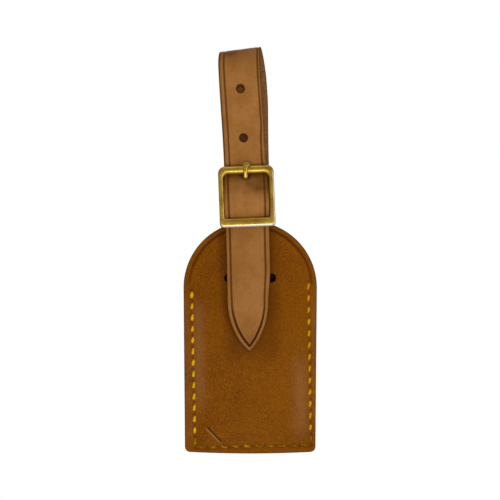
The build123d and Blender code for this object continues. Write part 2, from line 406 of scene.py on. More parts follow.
def strap_to_row(across, depth, along):
    """Points of the strap in the row frame, in millimetres."""
    across, depth, along = np.broadcast_arrays(across, depth, along)
    return (
        np.outer(across, lean_across)
        + np.outer(along, lean_up)
        + np.outer(depth, (0.0, 1.0, 0.0))
    )


def tag_to_row(x, z, depth):
    return np.column_stack([slot_middle[0] + x, depth, slot_middle[2] + z])


def ring_faces(count, around, first=0, ring_round=False):
    """Faces over rings of points; ring_round joins the last ring to the first instead of closing both."""
    faces = []
    for i in range(count if ring_round else count - 1):
        here, after = first + i * around, first + (i + 1) % count * around
        for j in range(around):
            beside = (j + 1) % around
            faces.append((here + j, here + beside, after + beside, after + j))
    if not ring_round:
        faces.append(tuple(first + j for j in range(around)))
        faces.append(tuple(first + (count - 1) * around + j for j in range(around)))
    return faces


def rings_piece(name, rings, slot, ring_round=False, sharp=50):
    rings = np.asarray(rings)
    faces = ring_faces(*rings.shape[:2], ring_round=ring_round)
    return make_piece(name, rings.reshape(-1, 3), faces, slot, sharp)


# ---- materials
def tint(red, green, blue):
    """A colour given as 0 to 255 on a screen, as the shader wants it."""
    parts = [value / 255 for value in (red, green, blue)]
    return (*[p / 12.92 if p <= 0.04045 else ((p + 0.055) / 1.055) ** 2.4 for p in parts], 1.0)


class Finish:
    """One material and short ways to add nodes to it."""

    def __init__(self, name):
        self.material = bpy.data.materials.new(name)
        self.material.use_nodes = True
        self.tree = self.material.node_tree
        self.shader = self.tree.nodes["Principled BSDF"]

    def node(self, kind, feeds=(), **settings):
        made = self.tree.nodes.new(kind)
        for key, value in settings.items():
            setattr(made, key, value)
        for key, value in dict(feeds).items():
            self.feed(made.inputs[key], value)
        return made.outputs

    def feed(self, socket, value):
        if isinstance(value, bpy.types.NodeSocket):
            self.tree.links.new(value, socket)
        else:
            socket.default_value = value

    def done(self, colour, roughness, normal=None, sheen=None, metallic=0.0):
        """The finished material; sheen is how strong its highlights are, and their colour."""
        settings = {"Base Color": colour, "Roughness": roughness, "Metallic": metallic}
        if normal:
            settings["Normal"] = normal
        if sheen:
            settings["Specular IOR Level"] = sheen[0]
            settings["Specular Tint"] = (*sheen[1:], 1.0)
        for name, value in settings.items():
            self.feed(self.shader.inputs[name], value)
        return self.material

    def field(self, name, output="Fac"):
        return self.node("ShaderNodeAttribute", attribute_name=name)[output]

    def parts(self, vector):
        return self.node("ShaderNodeSeparateXYZ", {0: vector})

    def place(self):
        return self.node("ShaderNodeTexCoord")["Object"]

    def stretched(self, vector, scale):
        return self.node("ShaderNodeMapping", {"Vector": vector, "Scale": scale})[0]

    def noise(self, vector, scale, detail=3.0, roughness=0.55):
        feeds = {"Vector": vector, "Scale": scale, "Detail": detail, "Roughness": roughness}
        return self.node("ShaderNodeTexNoise", feeds)["Fac"]

    def cells(self, vector, scale):
        feeds = {"Vector": vector, "Scale": scale}
        return self.node("ShaderNodeTexVoronoi", feeds, feature="SMOOTH_F1")["Distance"]

    def math(self, operation, *values):
        return self.node("ShaderNodeMath", enumerate(values), operation=operation)[0]

    def times(self, a, b):
        return self.math("MULTIPLY", a, b)

    def plus(self, a, b):
        return self.math("ADD", a, b)

    def span(self, value, low, high, to_low=0.0, to_high=1.0):
        feeds = enumerate((value, low, high, to_low, to_high))
        return self.node("ShaderNodeMapRange", feeds, interpolation_type="SMOOTHSTEP")[0]

    def near(self, value, middle, width):
        """1 where the value is at the middle, falling to 0 at the width either side."""
        return self.span(self.math("ABSOLUTE", self.math("SUBTRACT", value, middle)), width, 0.0)

    def mix(self, share, a, b):
        a, b = [tint(*colour) if isinstance(colour, tuple) else colour for colour in (a, b)]
        return self.node("ShaderNodeMix", {0: share, 6: a, 7: b}, data_type="RGBA")[2]

    def mix_number(self, share, a, b):
        return self.node("ShaderNodeMix", {0: share, 2: a, 3: b}, data_type="FLOAT")[0]

    def layered(self, under, *layers):
        """A colour with others laid over it in turn, each where a field passes from low to high."""
        for field, low, high, share, colour in layers:
            under = self.mix(self.span(field, low, high, 0.0, share), under, colour)
        return under

    def bump(self, height, distance, strength):
        feeds = {"Height": height, "Distance": distance, "Strength": strength}
        return self.node("ShaderNodeBump", feeds)[0]


def strap_leather():
    """Pale vegetable-tanned leather, with dark pressed lines, dark cut edges and a fibrous back, a
    painted highlight beside its pressed lines and painted shade from the buckle.
    """
    f = Finish("strap_leather")
    sheet = f.field("on_sheet", "Vector")
    inset, crease_gap, from_hole = f.parts(f.field("lines", "Vector"))
    dark, worn, burnt = f.parts(f.field("marks", "Vector"))
    cloud = f.noise(sheet, 0.09, 4)
    mottle = f.noise(sheet, 0.45, 5, 0.65)
    speck = f.noise(sheet, 2.2, 3, 0.7)
    tan = f.mix(f.span(cloud, 0.34, 0.66), (162, 106, 48), (179, 122, 63))
    pale_speck = f.noise(f.stretched(sheet, (1.0, 1.6, 1.0)), 1.9, 3, 0.7)
    tan = f.layered(
        tan,
        (mottle, 0.50, 0.75, 0.40, (146, 88, 33)),
        (speck, 0.52, 0.72, 0.60, (118, 68, 20)),
        (pale_speck, 0.52, 0.74, 0.55, (206, 146, 86)),
        (crease_gap, 0.2, -0.3, 0.22, (122, 74, 24)),
    )
    # dark is painted shade from the buckle, together with a stain and darkening by the fold and at the
    # tip; worn is a stain by the fold.
    tan = f.mix(worn, f.mix(dark, tan, (104, 62, 18)), (112, 50, 14))
    waver = f.math("MULTIPLY_ADD", f.noise(sheet, 0.25, 2), 0.3, -0.15)
    ink = f.field("ink")
    line = f.near(f.plus(crease_gap, waver), 0.0, f.math("MULTIPLY_ADD", ink, 0.36, 0.58))
    line = f.math("MINIMUM", f.times(line, 1.5), 1.0)
    line_tint = f.mix(ink, (98, 50, 6), (62, 14, 0))
    # A painted highlight along the raised lip beside each pressed line.
    lip_highlight = f.near(f.plus(crease_gap, waver), -0.85, 0.40)
    line_share = f.times(line, f.math("MULTIPLY_ADD", ink, 0.24, 0.74))
    tan = f.mix(line_share, f.mix(f.times(lip_highlight, 0.30), tan, (188, 132, 74)), line_tint)

    fuzz = f.noise(sheet, 1.7, 6, 0.8)
    flesh = f.mix(f.span(fuzz, 0.34, 0.66), (100, 62, 26), (184, 134, 76))
    grain_side = f.field("grain_side")
    face = f.span(grain_side, 0.85, 0.98)
    colour = f.mix(face, flesh, tan)
    cut = f.times(f.span(inset, 0.38, 0.05), 0.85)
    colour = f.mix(f.math("MAXIMUM", cut, burnt), colour, (50, 27, 9))
    punched = f.times(f.span(from_hole, 0.22, 0.0), 0.9)
    colour = f.mix(punched, colour, (78, 24, 0))

    grain = f.cells(sheet, 2.6)
    pores = f.noise(sheet, 4.5, 3, 0.6)
    rough_height = f.times(fuzz, f.span(face, 0.0, 1.0, 4.0, 0.25))
    height = f.plus(rough_height, f.times(f.plus(grain, pores), 0.5))
    roughness = f.math("MAXIMUM", f.span(face, 0.0, 1.0, 0.95, 0.58), f.span(inset, 0.9, 0.3))
    return f.done(colour, roughness, f.bump(height, 0.00006, 0.6), (0.20, 1.0, 0.72, 0.42))


# Scratches on the tag's face: start, end, half width and strength of colour
scratches = [
    ((-21.0, -71.3), (-13.6, -79.0), 0.80, 0.90),
    ((-13.6, -79.0), (-10.4, -82.8), 0.55, 0.35),
]


def tag_leather():
    """Darker, polished caramel leather that handling has mottled, scratched and burnished, with painted
    shade round the strap, the stitches and the slot, and painted sheen beside the side seams.
    """
    f = Finish("tag_leather")
    sheet = f.field("on_sheet", "Vector")
    _, z, _ = f.parts(sheet)
    inset, crease_gap, from_slot = f.parts(f.field("lines", "Vector"))
    dent_shade, shade, painted_sheen = f.parts(f.field("marks", "Vector"))
    cloud = f.noise(sheet, 0.05, 4, 0.55)
    mottle = f.noise(sheet, 0.30, 6, 0.62)
    speck = f.noise(sheet, 1.7, 4, 0.7)
    streak = f.noise(f.stretched(sheet, (1.0, 0.12, 1.0)), 0.55, 4, 0.6)
    fleck = f.noise(sheet, 1.5, 3, 0.8)
    hide = f.mix(f.span(cloud, 0.33, 0.67), (118, 59, 0), (132, 71, 0))
    hide = f.layered(
        hide,
        (mottle, 0.48, 0.74, 0.45, (98, 45, 0)),
        (streak, 0.55, 0.75, 0.30, (134, 76, 3)),
        (speck, 0.52, 0.70, 0.75, (72, 30, 0)),
        (fleck, 0.50, 0.66, 0.90, (164, 100, 20)),
        (z, -62.0, -84.0, 0.25, (108, 56, 0)),
    )
    hide = f.mix(shade, hide, (84, 36, 0))
    # Painted sheen, flecked, beside the side seams and on the margins
    hide = f.mix(f.times(painted_sheen, f.span(speck, 0.3, 0.7, 0.5, 1.0)), hide, (172, 124, 84))
    # Painted shade in the awl holes and along the seam.
    hide = f.mix(f.times(dent_shade, 0.75), hide, (56, 24, 0))

    arch_only = f.span(z, -5.0, -1.0)
    crease = f.times(f.near(crease_gap, 0.0, 1.15), arch_only)
    crease = f.times(crease, f.span(z, -2.0, 24.0, 0.60, 0.95))
    hide = f.mix(crease, hide, (80, 28, 0))
    scratched = f.field("ink")
    for start, end, reach, strength in scratches:
        across, within = scratch(f, sheet, start, end)
        within = f.times(within, scratched)
        # Each scratch is a dark gouge with a painted highlight along its raised lip.
        gouge = f.times(f.near(across, 0.0, reach), within)
        raised_highlight = f.times(f.near(across, -reach * 1.1, reach * 0.8), within)
        hide = f.mix(f.times(raised_highlight, strength * 0.55), hide, (190, 132, 84))
        hide = f.mix(f.times(gouge, strength), hide, (44, 18, 1))
    burnish = f.span(f.math("MULTIPLY_ADD", mottle, 0.3, inset), 0.62, 0.25, 0.0, 0.80)
    hide = f.mix(burnish, hide, (66, 32, 5))
    hide = f.layered(hide, (from_slot, 0.5, 0.0, 0.8, (54, 25, 3)))

    face = f.span(f.field("grain_side"), 0.85, 0.98)
    cut = f.mix(f.noise(sheet, 2.0, 4), (52, 26, 6), (88, 48, 14))
    # Painted shade, near black, on the flesh side round the slot, inside the pocket between the panels
    cut = f.layered(cut, (from_slot, 6.0, 2.5, 0.92, (20, 6, 0)))

    pores = f.cells(sheet, 3.2)
    grain = f.noise(sheet, 3.0, 5, 0.65)
    height = f.plus(f.times(pores, 0.5), f.times(grain, 0.8))
    height = f.plus(height, f.times(mottle, 1.2))
    polish = f.span(mottle, 0.35, 0.70, 0.40, 0.55)
    roughness = f.mix_number(f.times(face, f.span(inset, 0.1, 0.6)), 0.95, polish)
    normal = f.bump(height, 0.00005, 0.5)
    return f.done(f.mix(face, cut, hide), roughness, normal, (0.22, 1.0, 0.62, 0.16))


def scratch(f, sheet, start, end):
    """How far a point of the tag's face is from a straight scratch, and 1 along its length."""
    way = (end[0] - start[0], end[1] - start[1])
    length = hypot(*way)
    x, z, _ = f.parts(sheet)
    from_x = f.math("SUBTRACT", x, start[0])
    from_z = f.math("SUBTRACT", z, start[1])
    forward = f.plus(f.times(from_x, way[0] / length), f.times(from_z, way[1] / length))
    aside = f.math("SUBTRACT", f.times(from_z, way[0] / length), f.times(from_x, way[1] / length))
    within = f.near(forward, length / 2, length / 2 + 0.6)
    return aside, f.span(within, 0.0, 0.2)


def worn_brass():
    """Brass with a satin wear, a little duller in patches, and a painted pale reflection along the ring's
    lower and right edges.
    """
    f = Finish("worn_brass")
    place = f.place()
    cloud = f.noise(place, 170, 4, 0.6)
    speck = f.noise(place, 700, 4, 0.65)
    brass = f.mix(f.span(cloud, 0.35, 0.65), (172, 134, 50), (200, 164, 68))
    brass = f.layered(brass, (speck, 0.56, 0.76, 0.45, (134, 98, 42)))
    # A painted pale reflection along the ring's lower and right edges.
    brass = f.mix(f.field("edge_reflection"), brass, (226, 222, 218))
    hairline = f.noise(f.stretched(place, (1.0, 1.0, 6.0)), 1200, 3, 0.6)
    normal = f.bump(f.plus(hairline, speck), 0.00001, 0.35)
    return f.done(brass, f.span(speck, 0.35, 0.70, 0.27, 0.40), normal, metallic=1.0)


def waxed_thread():
    """Mustard thread, fibrous, and dirtier along the bottom of the tag."""
    f = Finish("waxed_thread")
    place = f.place()
    x, _, height = f.parts(place)
    tuft = f.noise(place, 1500, 4, 0.7)
    soil = f.noise(place, 260, 3, 0.6)
    yellow = f.mix(f.span(tuft, 0.3, 0.7), (222, 166, 0), (250, 206, 16))
    yellow = f.layered(yellow, (x, 0.010, 0.030, 0.35, (160, 112, 0)))
    low_dirt = f.span(height, -0.174, -0.180, 0.05, 0.72)
    dirt = f.times(low_dirt, f.span(soil, 0.30, 0.60, 0.6, 1.3))
    colour = f.mix(dirt, yellow, (116, 70, 0))
    strand = f.noise(f.stretched(place, (1.0, 1.0, 0.35)), 2600, 3, 0.6)
    return f.done(colour, 0.72, f.bump(strand, 0.00008, 0.7), (0.20, 1.0, 0.75, 0.30))


def card_stock():
    """Off-white card with paper fibres."""
    f = Finish("card_stock")
    place = f.place()
    fibre = f.noise(f.stretched(place, (1.0, 1.0, 0.3)), 1500, 5, 0.7)
    tone = f.noise(place, 90, 3)
    colour = f.mix(f.span(tone, 0.3, 0.7), (232, 226, 208), (242, 238, 226))
    return f.done(colour, 0.85, f.bump(fibre, 0.00003, 0.5))


# Each material slot's finish
finishes = {
    "strap_leather": strap_leather(),
    "tag_leather": tag_leather(),
    "brass": worn_brass(),
    "thread": waxed_thread(),
    "card": card_stock(),
}


# ---- strap
def fold_corner(run_end):
    """Where the tangent from a run's end to the fold's middle circle meets the circle's top line."""
    reach = hypot(*run_end)
    lean = acos(fold_middle_radius / reach) - atan2(-run_end[1], abs(run_end[0]))
    side = 1.0 if run_end[0] > 0 else -1.0
    return (side * fold_middle_radius * (1 - sin(lean)) / cos(lean), fold_middle_radius)


# The strap's course: heights and depths at which its two runs bend, from its tip to its sewn end
climb_from_along = -50.7
over_bar_along = (-66.4, -61.0)
dip_along = -74.0
front_run_end = (under_bar_depth, -46.0)
back_run_end = (back_run_depth, -72.0)
sling_along = -101.3
sling_front_along = -97.5
buckle_end_depth = -4.0
buckle_end_along = (-84.5, -74.6)
skive_start = (-5.45, -70.4)
skived_length = 27.5
wrap_reach = 1.95
wrap_drops = (1.0, 2.4)
turned_end_along = -80.0
eye_slot = (12.0, 3.3)
eye_slot_rise = 1.9
eye_slot_setback = 1.6
route_step = 0.1
strap_course = [
    ((under_bar_depth, dip_along), 2.5),
    ((over_bar_depth, over_bar_along[0]), 4),
    ((over_bar_depth, over_bar_along[1]), 4),
    ((under_bar_depth, climb_from_along), 4),
    (front_run_end, 20),
    (fold_corner(front_run_end), fold_middle_radius),
    (fold_corner(back_run_end), fold_middle_radius),
    (back_run_end, 20),
    ((back_run_depth, sling_along), 1.15),
    ((-back_run_depth, sling_along), 1.15),
    ((-back_run_depth, sling_front_along), 6),
    ((buckle_end_depth, buckle_end_along[0]), 6),
    ((buckle_end_depth, buckle_end_along[1]), 6),
    (skive_start, 6),
    ((bar_depth - wrap_reach, bar_along - wrap_drops[0]), 1.8),
    ((bar_depth - wrap_reach, bar_along + wrap_reach), 1.9),
    ((bar_depth + wrap_reach, bar_along + wrap_reach), 1.9),
    ((bar_depth + wrap_reach, bar_along - wrap_drops[1]), 1.8),
    ((-back_run_depth, dip_along), 1.8),
]
strap_ends = [(under_bar_depth, strap_joint_along), (-back_run_depth, turned_end_along)]
strap_corners = [strap_ends[0], *[corner for corner, _ in strap_course], strap_ends[1]]
strap_route = Route(rounded_route(strap_corners, [radius for _, radius in strap_course], route_step))
tip_bend = (under_bar_depth, -80.4)
tip_route = Route(rounded_route([tip_point, tip_bend, strap_ends[0]], [30], 0.2))
half_strap = strap_width / 2
front_length = strap_route.reach[np.argmax(strap_route.points[:, 1])]
skive_distance = strap_route.length - skived_length
rows_past_bar = np.argmax(strap_route.points[::-1, 1] >= bar_along + eye_slot_rise)
eye_slot_middle = strap_route.length - rows_past_bar * route_step - eye_slot_setback

# How the worn strap hangs: twisted in degrees, moved aside in millimetres, and wider or narrower
# as a share of its width
loop_twist = 7.0
loop_narrowing = 0.045
loop_shift = -0.45
fold_shift = -0.25
fold_slope = 0.07
back_run_shift = 0.78
window_shift = 1.8 * frame_shift
window_swell = 0.037
slot_squeeze = 0.04
tip_shift = -0.4
tip_swing = 1.2
tip_hang = 61.7
tip_trim = 0.11


def loop_hang(across, depth, along, front):
    """The upper loop hangs a little twisted and askew, and its back run sits to the right."""
    above = smooth(along, -53, -44) * front
    twist = np.radians(loop_twist) * smooth(along, -48, -4)
    across = across * (1 - loop_narrowing * above) + loop_shift * above
    across = across + fold_shift * smooth(along, -36, 6)
    across = across + window_shift * smooth(along, -51, -54) * smooth(along, -78, -72)
    to_right = back_run_shift * smooth(along, 4, -20) * smooth(along, -95, -65)
    across = across + to_right * smooth(depth, -1, 2) + slot_shift * smooth(along, -70, -96)
    turned = across * np.cos(twist) + (depth + 2) * np.sin(twist)
    depth = (depth + 2) * np.cos(twist) - across * np.sin(twist) - 2
    return turned, depth, along + fold_slope * across * smooth(along, -12, 6)


def tip_aside(along):
    """Below the centre bar the front run bears a little to the left."""
    return tip_shift * smooth(along, -72.5, -77.5)


def place_strap(flat, lift):
    across, distance = flat.T
    depth, along = strap_route.point(distance, lift)
    on_front = smooth(distance, front_length, front_length - 8)
    in_window = on_front * smooth(along, -75, -71.5) * smooth(along, -51, -54)
    in_slot = smooth(distance, front_length, front_length + 30) * smooth(along, -88, -98)
    across = across * (1 + window_swell * in_window) * (1 - slot_squeeze * in_slot)
    across = across + tip_aside(along) * on_front
    front = smooth(distance, front_length + 18, front_length + 2)
    return strap_to_row(*loop_hang(across, depth, along, front))


def place_tip(flat, lift):
    depth, along = tip_route.point(flat[:, 1], lift)
    trimmed = 1.0 - tip_trim * (flat[:, 0] > 0) * smooth(along, -97, -114)
    swing = tip_swing * (np.clip(strap_joint_along - along, 0, None) / tip_hang) ** 1.6
    return strap_to_row(flat[:, 0] * trimmed - swing + tip_aside(along), depth, along)


# A strap piece's cut edge is worn, and for that reckoning it runs on past the piece's joined end
worn_overrun = 9.0
hole_clearance = 1.35
side_insets = [0.07, 0.22, 0.5, 1.1, 1.65, 1.9, 2.15, 2.4, 2.65, 3.3, 4.2]
middle_columns = np.linspace(5.2 - half_strap, half_strap - 5.2, 11)
strap_columns = [*[inset - half_strap for inset in side_insets], *middle_columns]
strap_columns += [half_strap - inset for inset in reversed(side_insets)]


def strap_lifts(sheet, thickness, crease_gap):
    """Heights of the strap's grain face and flesh face."""
    waviness = 0.05 * ripple(sheet.flat, 9, 3)
    dish = 0.10 * bell(sheet.from_hole, 0.9)
    top = thickness / 2 - sheet.rounding(0.5, 0.22) - 0.28 * bell(crease_gap, 0.38)
    bottom = sheet.rounding(0.4, 0.15) - thickness / 2
    return top + waviness - dish, bottom + waviness


def punched_under(flat):
    """The sheet's points on its flesh side, where the two open holes are smaller and lower."""
    under = flat.copy()
    for across, along, radius in strap_holes[1:]:
        middle = np.array([across, strap_route.distance_at(along)])
        rim = np.hypot(*(flat - middle).T) < radius + 0.02
        under[rim] = middle + (flat[rim] - middle) * 0.70 - 0.28
    return under


def make_strap():
    rows = strap_route.rows(1.0, radians(9))
    loops = [
        arc(across, strap_route.distance_at(along), radius, turns_round(40))
        for across, along, radius in strap_holes
    ]
    loops.append(slot_loop((0.0, eye_slot_middle), *eye_slot, across=False))
    right = [(half_strap, row) for row in rows]
    far_end = [(column, rows[-1]) for column in reversed(strap_columns)]
    left = [(-half_strap, row) for row in reversed(rows)]
    near_end = [(column, 0.0) for column in strap_columns]
    outline = np.array(right + far_end + left + near_end)
    rings = [ring_beside(loop, -gap) for loop in loops for gap in (0.06, 0.2, 0.5, 1.0)]
    grid = [(column, row) for row in rows[1:-1] for column in strap_columns]
    filled = spaced([(np.vstack(rings), 0.0), (grid, 0.01)])
    covered = np.array(filled)
    too_near = np.zeros(len(covered), bool)
    for loop in loops:
        too_near |= (distance_to(covered, closed(loop)) < hole_clearance) | inside(covered, loop)
    too_near[: sum(len(ring) for ring in rings)] = False
    low, high = -worn_overrun, rows[-1]
    worn = np.array([(half_strap, low), (half_strap, high), (-half_strap, high), (-half_strap, low)])
    sheet = Sheet(outline, loops, covered[~too_near], worn)

    distance = sheet.flat[:, 1]
    skived = smooth(distance, skive_distance - 3, skive_distance)
    thickness = strap_thickness - (strap_thickness - skived_thickness) * skived
    x = sheet.flat[:, 0]
    depth, along = strap_route.point(distance, 0 * distance)
    above = smooth(along, -52, -46) * (distance < front_length + 4)
    crease_gap = sheet.inset - strap_crease_inset
    crease_gap += above * np.where(x > 0, 0.15 + 0.75 * smooth(along, -36, -28), -0.7)
    front = smooth(distance, front_length, front_length - 8)
    blotch = 0.5 + 0.5 * ripple(sheet.flat, 4, 11)
    # Painted shade: a shadow under the buckle's top bar, and darker inside its window and at the window's
    # sides. The stain is a real mark, and the strap is also darker up over the fold.
    top_bar_shadow = bell(along + 51.8, 2.6) * front
    in_window = smooth(along, -69, -55) * smooth(along, -46, -50) * front
    side_shade = in_window * smooth(sheet.inset, 2.6, 0.6)
    stain = in_window * bell(along + 59.5, 3.8) * bell(x - 6.5, 6.0)
    dark = 0.65 * top_bar_shadow + 0.36 * in_window * (0.5 + blotch) + 0.5 * side_shade
    dark += 0.9 * stain * (0.55 + 0.45 * blotch)
    dark += 0.30 * smooth(along, -12, 6)
    fold_stain = smooth(((along - 7.4) / 3.2) ** 2 + ((x + 4.2) / 3.6) ** 2, 1.3, 0.5)
    fold_stain *= 0.62 * smooth(depth, 4, 0)
    burnt = 0.9 * above * (x < 0) * smooth(sheet.inset, 1.05, 0.45) * (0.65 + 0.35 * blotch)
    lifts = strap_lifts(sheet, thickness, crease_gap)
    marks = (np.clip(dark, 0, 1), fold_stain, burnt)
    ink = np.full(len(x), 0.35)
    under = punched_under(sheet.flat)
    piece = leather_piece(
        "strap", sheet, place_strap, lifts, "strap_leather", marks, crease_gap, ink, under=under
    )
    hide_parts("strap_loop", "strap_front", "strap_sling")
    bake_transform(piece)


def make_strap_tip():
    arc_radius = (tip_taper**2 + half_strap**2) / strap_width
    half_turn = 2 * atan2(half_strap, tip_taper)
    turns = np.linspace(0, half_turn, 36)
    side_x = half_strap - arc_radius * (1 - np.cos(turns))
    side_s = tip_taper - arc_radius * np.sin(turns)
    right_taper = list(zip(side_x[::-1], side_s[::-1]))
    left_taper = [(-x, s) for x, s in zip(side_x[:-1], side_s[:-1])]
    end = tip_route.length
    straight = np.linspace(tip_taper, end, 34)[1:]
    right = right_taper + [(half_strap, s) for s in straight]
    top = [(column, end) for column in reversed(strap_columns)]
    left = [(-half_strap, s) for s in straight[::-1]] + left_taper
    outline = np.array(right + top + left)
    far = end + worn_overrun
    worn = np.array([(-half_strap, far), *left, *right, (half_strap, far)])
    guides = [ring_beside(outline, inset) for inset in side_insets]
    guides = [ring[ring[:, 1] < end - 0.35] for ring in guides]
    guides.append(np.array([(x, end - 0.35) for x in strap_columns]))
    fill = np.array(lattice((-half_strap, 0), (half_strap, end - 0.6), 1.0))
    fill = fill[inside(fill, outline)]
    fill = fill[distance_to(fill, worn) > side_insets[-1] - 0.3]
    points = spaced([(outline, 0.0)] + [(ring, 0.05) for ring in guides] + [(fill, 0.55)])
    sheet = Sheet(outline, [], points[len(outline):], worn)
    x, from_point = sheet.flat.T
    uneven = 0.2 * np.sign(x) * smooth(from_point, 20, 34)
    crease_gap = sheet.inset - strap_crease_inset - uneven
    dark = 0.14 + 0.32 * smooth(from_point, 20, 0) * smooth(sheet.inset, 1.5, 3.0)
    burnt = 0.75 * smooth(sheet.inset, 0.8, 0.3) * smooth(from_point, 7, 1)
    lifts = strap_lifts(sheet, strap_thickness, crease_gap)
    marks = (dark, 0 * dark, burnt)
    ink = 0.45 + 0.55 * smooth(from_point, 30, 10)
    piece = leather_piece(
        "strap_point", sheet, place_tip, lifts, "strap_leather", marks, crease_gap, ink, shift=-end
    )
    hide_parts("strap_tip")
    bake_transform(piece)


# ---- tag
def seam_row(start, end, stitches):
    """The awl holes of a straight row of stitches."""
    shares = np.linspace(0, 1, stitches + 1)[:, None]
    return np.array(start) * (1 - shares) + np.array(end) * shares


seam_rows = [
    seam_row(seam_corners[0], seam_corners[1], side_stitches),
    seam_row(seam_corners[1], seam_corners[2], bottom_stitches),
    seam_row(seam_corners[2], seam_corners[3], side_stitches),
]
awl_holes = np.vstack(seam_rows)


def tag_outline():
    """The panels' cut edge, anticlockwise."""
    arch = arc(0.0, spring_line, arch_radius, np.linspace(0, pi, 130))
    half = tag_bottom_width / 2
    low = tag_bottom + bottom_bow
    bow_radius = (half - corner_radius) / tan(atan2(2 * bottom_bow, half)) * 0.98
    lower = rounded_route(
        [arch[-1], (-half, low), (0, tag_bottom - bottom_bow), (half, low), arch[0]],
        [corner_radius, bow_radius, corner_radius],
        0.8,
    )
    return np.vstack([arch, lower[1:-1]])


def make_panel_sheet(slot_edge):
    """A panel's sheet, with its slot."""
    outline = tag_outline()
    edges = [ring_beside(outline, gap) for gap in (0.06, 0.2, 0.42, 0.9)]
    creases = [ring_beside(outline, tag_crease_inset + step) for step in (-0.5, -0.25, 0.0, 0.25, 0.5)]
    creases = [ring[ring[:, 1] > -8] for ring in creases]
    lips = [ring_beside(slot_edge, -gap) for gap in (0.08, 0.25, 0.6, 1.1)]
    seams = []
    for row in seam_rows:
        way, aside = way_between(row[0], row[-1])
        steps = np.arange(-0.8, np.linalg.norm(row[-1] - row[0]) + 0.8, 0.46)
        for offset in (-1.6, -1.05, -0.6, -0.2, 0.2, 0.6, 1.05, 1.6):
            seams.append(row[0] + steps[:, None] * way + aside * offset)
    fill = np.array(lattice((-arch_radius, tag_bottom), (arch_radius, spring_line + arch_radius), 1.15))
    fill = fill[inside(fill, outline) & ~inside(fill, slot_edge)]
    groups = [(outline, 0.0), (slot_edge, 0.0)]
    groups += [(ring, 0.03) for ring in edges + lips]
    groups += [(ring, 0.15) for ring in creases]
    groups += [(row, 0.3) for row in seams]
    groups += [(fill, 0.62)]
    points = spaced(groups)[len(outline) + len(slot_edge):]
    return Sheet(outline, [slot_edge], points)


seam_loop = np.array([*seam_corners, (22.0, 20.0), (-22.0, 20.0)])
# Bands of painted sheen beside the side seams: the seam, strength, distance from it,
# width, and the heights over which the band starts and ends
sheen_bands = [
    (seam_corners[:2], 0.30, 2.6, 3.2, (-8, -18), (-72, -52)),
    (seam_corners[2:], 0.32, 4.6, 3.6, (-28, -50), (-80, -70)),
]


def make_panel(side, name, node):
    """One panel: side 1 is the front, which lifts towards the viewer, and -1 the back."""
    if side > 0:
        slot_edge = slot_loop((0.0, 0.0), slot_length, slot_height)
    else:
        slot_edge = rounded_loop(back_slot_length / 2, -slot_height / 2, slot_height / 2, 0.5, 0.5)
        slot_edge = slot_edge + (slot_shift, 0.0)
    sheet = make_panel_sheet(slot_edge)
    x, z = sheet.flat.T
    seam_distance = distance_to(sheet.flat, np.array(seam_corners))
    awl_distance = np.min([np.hypot(*(sheet.flat - hole).T) for hole in awl_holes], axis=0)
    within_seam = inside(sheet.flat, seam_loop)
    crease_gap = sheet.inset - tag_crease_inset
    crown = dome_height if side > 0 else back_dome_height
    dome = crown * within_seam * smooth(seam_distance, 0.4, 9) * smooth(z, -3, -24)
    margin = 0.12 * (~within_seam) * smooth(seam_distance, 0.3, 1.2) * smooth(z, -1, -8)
    channel = 0.12 * bell(seam_distance, 0.9)
    dents = 0.40 * bell(awl_distance, 0.45)
    crease = 0.32 * bell(crease_gap, 0.45) * smooth(z, -5, -1)
    unevenness = 0.06 * ripple(sheet.flat, 16, 5 + side) + 0.03 * ripple(sheet.flat, 5, 8 + side)
    height = dome + margin - channel - dents - crease + unevenness * smooth(sheet.inset, 0, 3)
    top = panel_thickness + height - sheet.rounding(0.5, 0.3)
    pocket = (
        smooth(np.abs(x - pocket_offset), pocket_half_width + 0.2, pocket_half_width)
        * smooth(z, pocket_bottom - 0.2, pocket_bottom)
        * (z < 20)
    )
    bottom = np.maximum(pocket_recess * pocket, dome * 0.9) + 0.08 * smooth(sheet.inset, 0.3, 0.0)
    # Painted shade in the awl holes and along the seam's channel
    painted_dent_shade = 0.9 * bell(awl_distance, 0.38) + 0.06 * bell(seam_distance, 0.7)
    strap_line = x * lean_across[0] + z * lean_across[2]
    strap_shadow = 0.5 * smooth(np.abs(strap_line), 16, 9) * smooth(z, -46, -30) if side > 0 else 0 * x
    on_margin = (~within_seam) * smooth(seam_distance, 0.5, 1.6)
    # Painted sheen on the margin outside the seam and in bands just inside the side seams
    painted_sheen = 0.10 * on_margin * smooth(z, -2, -14) * smooth(z, -82, -76)
    for seam, strength, middle, width, top_end, low_end in sheen_bands:
        from_seam = distance_to(sheet.flat, np.array(seam)) + 20 * (~within_seam)
        band = strength * bell(from_seam - middle, width)
        painted_sheen += band * smooth(z, *top_end) * smooth(z, *low_end)

    def place(flat, lift):
        return tag_to_row(*flat.T, -side * lift)

    marks = (np.clip(painted_dent_shade, 0, 1), strap_shadow, painted_sheen)
    ink = np.full(len(x), float(side > 0))
    piece = leather_piece(name, sheet, place, (top, bottom), "tag_leather", marks, crease_gap, ink)
    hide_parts(node)
    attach(piece, "tag")


